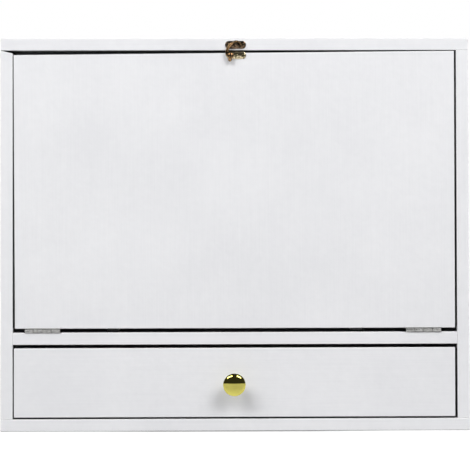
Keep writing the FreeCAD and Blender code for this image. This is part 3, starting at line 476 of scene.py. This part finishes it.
def screw_seats(node):
    """For each screw of a CAD node: the head's end on the axis, the way out of the wood and the length."""
    seats = []
    for points in solids_of(node):
        low = Vector([min(p[i] for p in points) for i in range(3)])
        high = Vector([max(p[i] for p in points) for i in range(3)])
        size = high - low
        axis = max(range(3), key=lambda i: size[i])
        middle = (low + high) / 2

        def reach(end):
            near = [p for p in points if abs(p[axis] - end) < 0.02 * MM]
            return max(math.hypot(*[p[i] - middle[i] for i in range(3) if i != axis]) for p in near)

        way = Vector((0, 0, 0))
        head = middle.copy()
        outward = reach(high[axis]) > reach(low[axis])
        way[axis] = 1 if outward else -1
        head[axis] = high[axis] if outward else low[axis]
        seats.append((head, way, size[axis]))
    return seats


def screw(work, matrix, length, head, shank, sink, crown, recess, depth):
    """A screw along -Z: crowned head with a recess, cone, threaded shank and point, in millimetres."""
    unit = head / RECESS_HEAD

    def dome(x, y):
        return crown * (1 - (x * x + y * y) / (head * head))

    mouth = [work.verts.new((x * unit, y * unit, dome(x * unit, y * unit))) for x, y in recess]
    floor = [work.verts.new((x * unit * RECESS_TAPER, y * unit * RECESS_TAPER, crown - depth))
             for x, y in recess]
    bridge(work, mouth, floor)
    work.faces.new(floor)
    profile = [(head * t, dome(head * t, 0)) for t in HEAD_SHARES]
    profile += [(head, -HEAD_LAND), (shank * NECK, -sink)]
    pitch = shank * THREAD_PITCH
    height = -sink - pitch
    while height > -length + THREAD_END * pitch:
        profile += [(shank * THREAD_ROOT, height + pitch * FLANK), (shank, height),
                    (shank * THREAD_ROOT, height - pitch * BACK_FLANK)]
        height -= pitch
    profile += [(shank * TIP, -length + TIP_LENGTH * pitch), (0.0, -length)]
    rings = [circle(work, radius, z, SCREW_SIDES) for radius, z in profile]
    zip_loops(work, mouth, rings[0])
    bridge_all(work, rings)
    verts = mouth + floor + [vert for ring in rings for vert in ring]
    bmesh.ops.transform(work, matrix=matrix, verts=verts)


def screws_for(node, material, kind, proud):
    """Detailed screws in the place of a CAD group of screws, each turned a little differently."""
    work = bmesh.new()
    for index, (point, way, length) in enumerate(screw_seats(node)):
        spin = Matrix.Rotation(math.radians(TURN_STEP * index + FIRST_TURN), 4, "Z")
        turn = way.to_track_quat("Z", "Y").to_matrix().to_4x4() @ spin
        seat = Matrix.Translation(point + way * (proud - kind["crown"]) * MM)
        screw(work, seat @ turn @ TO_METRES, length / MM - POINT_ROOM, **kind)
    stand_in(node + "_cut", work, material, node)


# Drawer knob: a cap with a flat dome, a steeper shoulder and a narrow rim over a waisted neck and a foot

KNOB_SIDES = 128
KNOB_NECK = [(0.0, 0.0), (7.2, 0.0), (7.5, 0.3), (7.5, 1.0), (6.6, 2.0), (5.5, 3.3), (5.0, 5.0), (5.0, 11.0),
             (5.4, 13.2), (6.6, 15.0), (8.8, 17.0), (11.2, 18.9)]
RIM_ROUND = 0.6
DOME_SHARE = 0.69
DOME_TILT, EDGE_TILT, UNDER_TILT = math.radians(20), math.radians(43), math.radians(150)
ARC_STEPS, DOME_STEPS = 10, 20


def knob_profile(reach, rim):
    """Radius and height from the foot to the top, with arcs that meet without a corner above the rim."""
    dome_edge = DOME_SHARE * rim
    edge_reach = rim - RIM_ROUND * (1 - math.sin(EDGE_TILT))
    dome_radius = dome_edge / math.sin(DOME_TILT)
    dome_centre = reach - dome_radius
    shoulder = (edge_reach - dome_edge) / (math.sin(EDGE_TILT) - math.sin(DOME_TILT))
    shoulder_centre = dome_centre + (dome_radius - shoulder) * math.cos(DOME_TILT)
    rim_height = shoulder_centre + (shoulder - RIM_ROUND) * math.cos(EDGE_TILT)
    return (KNOB_NECK
            + arc(rim - RIM_ROUND, rim_height, RIM_ROUND, UNDER_TILT, EDGE_TILT, ARC_STEPS)
            + arc(dome_edge - shoulder * math.sin(DOME_TILT), shoulder_centre, shoulder, EDGE_TILT, DOME_TILT,
                  ARC_STEPS)
            + arc(0.0, dome_centre, dome_radius, DOME_TILT, 0.0, DOME_STEPS) + [(0.0, reach)])


def knob():
    low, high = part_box("drawer_knob")
    work = bmesh.new()
    profile = knob_profile((high.y - low.y) / MM, (high.x - low.x) / 2 / MM)
    lathe(work, profile, KNOB_SIDES, front_middle(low, high))
    stand_in("knob_cap", work, gold, "drawer_knob")


knob()


# Latch: keeper plate with a button-headed stud, hook plate with a boss, rivet, swing hook and screws

PLATE_EDGE, PLATE_CROWN = 0.75, 1.5
STUD_X, STUD_Z = 1.7, 36.4  # from the origin of the frame
STUD_SIDES = 48
STUD_FOOT = [(2.1, 1.2), (2.1, 1.65), (1.75, 1.9), (1.4, 2.1)]
BOSS_FOOT = [(3.1, 0.6), (3.1, 1.5), (2.75, 1.75), (2.6, 2.0)]
RIVET_FOOT = [(0.0, 0.0), (1.25, 0.0)]
# Radius and distance back from the front end
STUD_HEAD = [(1.4, 1.5), (2.0, 1.45), (2.2, 1.3), (2.2, 1.1), (2.1, 0.8), (1.8, 0.4), (1.35, 0.17),
             (0.8, 0.04), (0.0, 0.0)]
BOSS_FACE = [(2.5, 0.0), (0.0, 0.0)]
RIVET_HEAD = [(1.25, 0.9), (2.4, 0.88), (2.6, 0.7), (2.45, 0.4), (1.9, 0.14), (1.1, 0.02), (0.0, 0.0)]
PIVOT_SIDES = 40
pivot_x, _, pivot_z = JOINT_AT["latch_swing"]


def from_end(points, end):
    """Profile points from ones that are measured back from the front end."""
    return [(radius, end - back) for radius, back in points]


def crowned_plate(node):
    """A new bmesh with the plate of a node, with the y of its rear face and its reach to the front."""
    low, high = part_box(node)
    length, height = (high.x - low.x) / MM, (high.z - low.z) / MM
    work = bmesh.new()
    pillow(work, length, height, PLATE_EDGE, PLATE_CROWN, front_middle(low, high))
    return work, high.y, (high.y - low.y) / MM


def keeper():
    work, rear, reach = crowned_plate("latch_keeper")
    lathe(work, STUD_FOOT + from_end(STUD_HEAD, reach), STUD_SIDES,
          front_place(STUD_X * MM, rear, STUD_Z * MM))
    stand_in("keeper_plate", work, bronze_painted_shade, "latch_keeper")


def hook_plate():
    work, rear, reach = crowned_plate("latch_hook_plate")
    lathe(work, BOSS_FOOT + from_end(BOSS_FACE, reach), PIVOT_SIDES, front_place(pivot_x, rear, pivot_z))
    stand_in("hook_plate", work, bronze_painted_light, "latch_hook_plate")


def hook_rivet():
    low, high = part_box("latch_hook_rivet")
    reach = (high.y - low.y) / MM
    work = bmesh.new()
    lathe(work, RIVET_FOOT + from_end(RIVET_HEAD, reach), PIVOT_SIDES, front_place(pivot_x, high.y, pivot_z))
    stand_in("hook_rivet_dome", work, bronze, "latch_hook_rivet")


# Swing hook: a tapered round bow from the claw over the stud down to the hub, and a tail with a thumb ball
BOW_X, BOW_Z, BOW_RADIUS = 6.0, 24.8, 16.2
BOW_START, BOW_SWEEP, BOW_STEPS = 14, 83, 48
BOW_WIDE, BOW_SWELL, BOW_DEEP = 1.4, 0.45, 1.45
CLAW_RADIUS, CLAW_SWEEP, CLAW_STEPS = 6.2, 72, 18
CLAW_WIDE, CLAW_SWELL, CLAW_DEEP = 0.75, 0.6, 1.15
CLAW_TAPER = 0.7  # the power of the swell along the claw
WIRE_SIDES = 28
CAP_SHRINK, CAP_RISE = 0.3, 0.6
THUMB_LEFT, THUMB_DROP = 0.6, 5.3
BALL, BALL_BACK = 2.4, 1.55  # the back is flatter, so that it passes over the plate's screws
BALL_STEPS, BALL_SIDES = 18, 32
TAIL = [(1.75, 0.0), (1.5, 1.2), (1.3, 2.2), (1.25, 3.0), (1.5, 3.8)]
TAIL_TOP, TAIL_SIDES = 5.0, 24
HUB_START, HUB_END, HUB_SIDES = 2.4, 5.5, 48
HUB_BORE = 1.35
HUB_FOOT = [(HUB_BORE, HUB_START), (3.8, HUB_START), (4.2, HUB_START + 0.45)]
HUB_FACE = [(4.2, 1.1), (3.95, 0.45), (3.4, 0.05), (2.9, 0.0), (HUB_BORE, 0.0)]


def round_point(centre, radius, degrees):
    """A point at an angle from the top of a circle towards the left, and the way out of the circle there."""
    a = math.radians(degrees)
    outward = Vector((-math.sin(a), 0, math.cos(a)))
    return centre + outward * radius, outward


def hook_wire(wire_y):
    """Points on the hook's middle line, each with the way outward, the half width and the half depth."""
    bow = Vector((BOW_X, wire_y, BOW_Z))
    claw = round_point(bow, BOW_RADIUS, BOW_START)[0] - Vector((0, 0, CLAW_RADIUS))
    wire = []
    for step in range(CLAW_STEPS):
        share = step / CLAW_STEPS
        wire.append((*round_point(claw, CLAW_RADIUS, CLAW_SWEEP * share - CLAW_SWEEP),
                     CLAW_WIDE + CLAW_SWELL * share ** CLAW_TAPER, CLAW_DEEP))
    for step in range(BOW_STEPS + 1):
        share = step / BOW_STEPS
        wire.append((*round_point(bow, BOW_RADIUS, BOW_START + BOW_SWEEP * share),
                     BOW_WIDE + BOW_SWELL * math.sin(math.pi * share), BOW_DEEP))
    return wire


def sweep(work, wire):
    """A tube of ellipses along a wire, with rounded ends."""
    forward = Vector((0, -1, 0))
    rings = []
    for centre, outward, wide, deep in wire:
        rings.append([work.verts.new(centre + outward * wide * math.cos(t) + forward * deep * math.sin(t))
                      for t in turns_of(WIRE_SIDES)])
    bridge_all(work, rings)
    for ring, end, before in ((rings[0], wire[0], wire[1]), (rings[-1], wire[-1], wire[-2])):
        middle, wide = end[0], end[2]
        away = (middle - before[0]).normalized()
        cap = [work.verts.new(vert.co.lerp(middle, CAP_SHRINK) + away * wide * CAP_RISE) for vert in ring]
        bridge(work, ring, cap)
        bridge(work, cap, [work.verts.new(middle + away * wide)])


def swing_hook():
    low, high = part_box("latch_hook")
    wire_y = (low.y + high.y) / 2 / MM
    work = bmesh.new()
    sweep(work, hook_wire(wire_y))
    bmesh.ops.transform(work, matrix=TO_METRES, verts=work.verts)
    thumb_x, thumb_y, thumb_z = pivot_x - THUMB_LEFT * MM, wire_y * MM, pivot_z - THUMB_DROP * MM
    ball = []
    for step in range(BALL_STEPS + 1):
        a = math.pi * step / BALL_STEPS
        ball.append((BALL * math.sin(a), -math.cos(a) * (BALL_BACK if step < BALL_STEPS / 2 else BALL)))
    lathe(work, ball, BALL_SIDES, front_place(thumb_x, thumb_y, thumb_z))
    tail_top = Matrix.Translation((thumb_x, thumb_y, thumb_z + TAIL_TOP * MM))
    lathe(work, TAIL, TAIL_SIDES, tail_top @ Matrix.Rotation(math.pi, 4, "X") @ TO_METRES)
    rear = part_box("latch_hook_plate")[1].y
    lathe(work, HUB_FOOT + from_end(HUB_FACE, HUB_END) + HUB_FOOT[:1], HUB_SIDES,
          front_place(pivot_x, rear, pivot_z))
    stand_in("swing_hook", work, bronze, "latch_hook")


keeper()
hook_plate()
hook_rivet()
swing_hook()
screws_for("latch_keeper_screws", bronze_painted_shade, LATCH_SCREW, proud=0.7)
screws_for("latch_hook_screws", bronze_painted_light, LATCH_SCREW, proud=0.7)


# Hinge leaves: rolled barrels with chamfered ends and a plate with eased corners

KNUCKLES = 4
BARREL, BARREL_BORE, BARREL_SIDES = 2.2, 1.42, 40
CHAMFER = 0.5
GAP = 0.32
NOTCH_ROOM = 0.4
LEAF, LEAF_WIDTH, LEAF_EASE = 1.1, 13.5, 0.12
CORNER, CORNER_MIDDLE = 1.2, 0.35
axis_y, axis_z = [value / MM for value in JOINT_AT["flap_hinge"][1:]]


def knuckle_span(marks, index, inset):
    """The ends of one knuckle: inset at a neighbour, but not at the hinge's own ends."""
    return (marks[index] + (inset if index else 0),
            marks[index + 1] - (inset if index + 1 < KNUCKLES else 0))


def leaf_outline(marks, first):
    """Corners of the flat leaf: tongues to its own knuckles, notches round the others, eased rear corners."""
    front, notch, rear = axis_y, axis_y + BARREL + NOTCH_ROOM, axis_y + LEAF_WIDTH
    left, right = marks[0], marks[-1]
    points = [(left, rear - CORNER), (left, notch)]
    for index in range(KNUCKLES):
        own = index % 2 == first
        points += [(x, front if own else notch) for x in knuckle_span(marks, index, GAP if own else -GAP)]
    points += [(right, notch), (right, rear - CORNER), (right - CORNER_MIDDLE, rear - CORNER_MIDDLE),
               (right - CORNER, rear), (left + CORNER, rear), (left + CORNER_MIDDLE, rear - CORNER_MIDDLE)]
    return list(dict.fromkeys((round(x, 4), round(y, 4)) for x, y in points))


def hinge_leaf(node, first, floor):
    """One leaf, with every second knuckle from the first one, on a floor given in millimetres."""
    low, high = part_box(node)
    start, length = low.x / MM, (high.x - low.x) / MM
    marks = [start + length * k / KNUCKLES for k in range(KNUCKLES + 1)]
    work = bmesh.new()
    face = work.faces.new([work.verts.new((x, y, floor)) for x, y in leaf_outline(marks, first)])
    top = bmesh.ops.extrude_face_region(work, geom=[face])["geom"]
    bmesh.ops.translate(work, vec=(0, 0, LEAF), verts=[v for v in top if isinstance(v, bmesh.types.BMVert)])
    bmesh.ops.bevel(work, geom=list(work.edges), offset=LEAF_EASE, segments=2, affect="EDGES",
                    clamp_overlap=True)
    along_pin = Matrix.Translation((0, axis_y, axis_z)) @ Matrix.Rotation(math.radians(90), 4, "Y")
    for index in range(first, KNUCKLES, 2):
        begin, end = knuckle_span(marks, index, GAP)
        lathe(work, [(BARREL_BORE, begin), (BARREL - CHAMFER, begin), (BARREL, begin + CHAMFER),
                     (BARREL, end - CHAMFER), (BARREL - CHAMFER, end), (BARREL_BORE, end),
                     (BARREL_BORE, begin)], BARREL_SIDES, along_pin)
    bmesh.ops.transform(work, matrix=TO_METRES, verts=work.verts)
    stand_in(node + "_rolled", work, nickel, node)


for side in ("left", "right"):
    hinge_leaf(f"{side}_hinge_shelf_leaf", 0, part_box(f"{side}_hinge_shelf_leaf")[0].z / MM)
    hinge_leaf(f"{side}_hinge_flap_leaf", 1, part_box(f"{side}_hinge_flap_leaf")[1].z / MM - LEAF)
for group in ("hinge_shelf_screws", "hinge_flap_screws"):
    screws_for(group, nickel, SMALL_SCREW, proud=0.2)
for group in ("guide_plate_screws", "bracket_screws"):
    screws_for(group, zinc, SMALL_SCREW, proud=0.2)
for group in ("runner_screws", "drawer_screws"):
    screws_for(group, zinc, BOX_SCREW, proud=0.2)


# Floor: white to the camera, with a painted contact shadow under the desk and a painted glow gradient that
# the knob mirrors

FLOOR_NEAR, FLOOR_FAR, FLOOR_HALF = FRONT - 1.25, 3.5, 4.0
# Each glow runs over a span of lengths between two levels
WHITE_SPAN, WHITE_LEVELS = (0.8, 1.8), (0.82, 1.0)
MIRROR_SPAN, MIRROR_LEVELS = (FRONT - 0.14, FRONT - 0.03), (0.63, 0.98)
CONTACT_SHADE_SPAN, CONTACT_SHADE_LEVELS = (0.1, 0.2), (0.95, 0.15)
CONTACT_SHADE_REACH = 16 * MM


def floor_material():
    material, g = new_material("pale_floor")
    rays = g.add("ShaderNodeLightPath").node.outputs
    seen = g.math("MAXIMUM", rays["Is Camera Ray"], rays["Is Transmission Ray"])
    grit = g.ramp(g.noise(300.0, 3.0), 0.3, 0.7, 0.23, 0.27)
    tint = g.add("ShaderNodeCombineColor", {"Red": grit, "Green": grit, "Blue": grit})
    diffuse = g.add("ShaderNodeBsdfDiffuse", {"Color": tint})
    away = g.add("ShaderNodeVectorMath", {0: g.place()}, out="Value", operation="LENGTH")
    spot = g.split(g.place())
    # Painted reflection: a glow seen only by mirrors, graded along the depth so that the knob shows a dimmer
    # face and a brighter rim.
    mirrored = g.times(rays["Is Glossy Ray"], g.ramp(spot["Y"], *MIRROR_SPAN, *MIRROR_LEVELS))
    glow = g.math("MAXIMUM", g.times(seen, g.ramp(away, *WHITE_SPAN, *WHITE_LEVELS)), mirrored)
    # Painted contact shadow: the glow darkens where the desk stands close, most under the middle.
    under_middle = g.ramp(g.math("ABSOLUTE", spot["X"]), *CONTACT_SHADE_SPAN, *CONTACT_SHADE_LEVELS)
    contact_shade = g.times(g.ramp(g.open_sky(CONTACT_SHADE_REACH), 0.8, 0.5), under_middle)
    glow = g.times(glow, g.math("SUBTRACT", 1.0, contact_shade))
    lift = g.add("ShaderNodeEmission", {"Color": rgb(1, 1, 1), "Strength": glow})
    g.end(g.add("ShaderNodeAddShader", {0: diffuse, 1: lift}))
    return material


corners = [(-FLOOR_HALF, FLOOR_NEAR), (FLOOR_HALF, FLOOR_NEAR),
           (FLOOR_HALF, FLOOR_FAR), (-FLOOR_HALF, FLOOR_FAR)]
floor_mesh = bpy.data.meshes.new("floor")
floor_mesh.from_pydata([(x, y, CASE_LOW.z) for x, y in corners], [], [(0, 1, 2, 3)])
floor_mesh.materials.append(floor_material())
floor = bpy.data.objects.new("floor", floor_mesh)
scene.collection.objects.link(floor)


# World: white to the camera, a weak fill for the light, and a dark room above for mirrors that face it

FILL_BELOW, FILL_ABOVE, FILL_OVERHEAD = 0.1, 0.24, 0.3
VEIL_BEHIND, VEIL_AHEAD = 0.45, 0.95


def studio():
    world = bpy.data.worlds.new("studio")
    scene.world = world
    world.use_nodes = True
    g = Graph(world.node_tree)
    rays = g.add("ShaderNodeLightPath").node.outputs
    way = g.split(g.add("ShaderNodeTexCoord", out="Generated"))
    ahead = g.ramp(way["Y"], 0.0, -0.12)
    above = g.ramp(way["Z"], -0.02, 0.02)
    veil = g.times(g.times(above, rays["Is Glossy Ray"]), g.ramp(ahead, 0.0, 1.0, VEIL_BEHIND, VEIL_AHEAD))
    shown = g.math("MAXIMUM", g.math("MAXIMUM", rays["Is Camera Ray"], rays["Is Glossy Ray"]),
                   rays["Is Transmission Ray"])
    fill = g.times(g.ramp(way["Z"], -0.1, 0.1, FILL_BELOW, FILL_ABOVE),
                   g.ramp(way["Z"], 0.3, 0.9, 1.0, FILL_OVERHEAD))
    level = g.math("MAXIMUM", shown, g.times(g.math("SUBTRACT", 1.0, shown), fill))
    level = g.times(level, g.math("SUBTRACT", 1.0, veil))
    g.end(g.add("ShaderNodeBackground", {"Color": rgb(1, 1, 1), "Strength": level}),
          "ShaderNodeOutputWorld")


studio()


# Lamps round the middle of the front: narrow ones that the metal mirrors, and wide ones that it doesn't

TARGET = Vector((0.0, FRONT, (CASE_LOW.z + CASE_HIGH.z) / 2))
LAMP_DISTANCE = 4.0
LAMPS = (  # name, azimuth and elevation in degrees, width and height, power, mirrored, roll in degrees
    ("left_softbox", -39, 41, 2.4, 0.75, 51, True, 30),
    ("right_softbox", 39, 40, 1.9, 0.85, 48.5, True, -34),
    ("left_screen", -38, 40, 3.0, 2.2, 65, False, 0),
    ("right_screen", 38, 39, 3.0, 2.2, 60, False, 0),
    ("rear_left_softbox", -128, 8, 1.8, 1.3, 42, True, 0),
    ("rear_right_softbox", 128, 8, 1.8, 1.3, 42, True, 0),
)


def softbox(name, azimuth, elevation, width, height, power, mirrored, roll):
    """An area lamp that faces the target, rolled about its own axis."""
    lamp = bpy.data.lights.new(name, "AREA")
    lamp.shape = "RECTANGLE"
    lamp.size, lamp.size_y = width, height
    lamp.energy = power
    a, e = math.radians(azimuth), math.radians(elevation)
    back = Vector((math.sin(a) * math.cos(e), -math.cos(a) * math.cos(e), math.sin(e)))
    turn = (-back).to_track_quat("-Z", "Y").to_matrix() @ Matrix.Rotation(math.radians(roll), 3, "Z")
    item = bpy.data.objects.new(name, lamp)
    item.location = TARGET + back * LAMP_DISTANCE
    item.rotation_euler = turn.to_euler()
    item.visible_glossy = mirrored
    scene.collection.objects.link(item)


for lamp in LAMPS:
    softbox(*lamp)


# Camera, fitted to the corners of the case in the photo

SENSOR, LENS = 36, 71.77
CAMERA_PLACE = (-0.0074, -1.3798, -0.2209)
PAN, PITCH, ROLL = [math.radians(angle) for angle in (0.351, 0.658, -0.149)]


def photo_camera():
    lens = bpy.data.cameras.new("camera")
    lens.sensor_width = SENSOR
    lens.lens = LENS
    camera = bpy.data.objects.new("camera", lens)
    scene.collection.objects.link(camera)
    scene.camera = camera
    forward = Vector((math.sin(PAN) * math.cos(PITCH), math.cos(PAN) * math.cos(PITCH), math.sin(PITCH)))
    level_right = Vector((math.cos(PAN), -math.sin(PAN), 0))
    level_up = level_right.cross(forward)
    right = level_right * math.cos(ROLL) + level_up * math.sin(ROLL)
    up = level_up * math.cos(ROLL) - level_right * math.sin(ROLL)
    facing = Matrix((right, up, -forward)).transposed()
    camera.matrix_world = Matrix.Translation(CAMERA_PLACE) @ facing.to_4x4()


photo_camera()
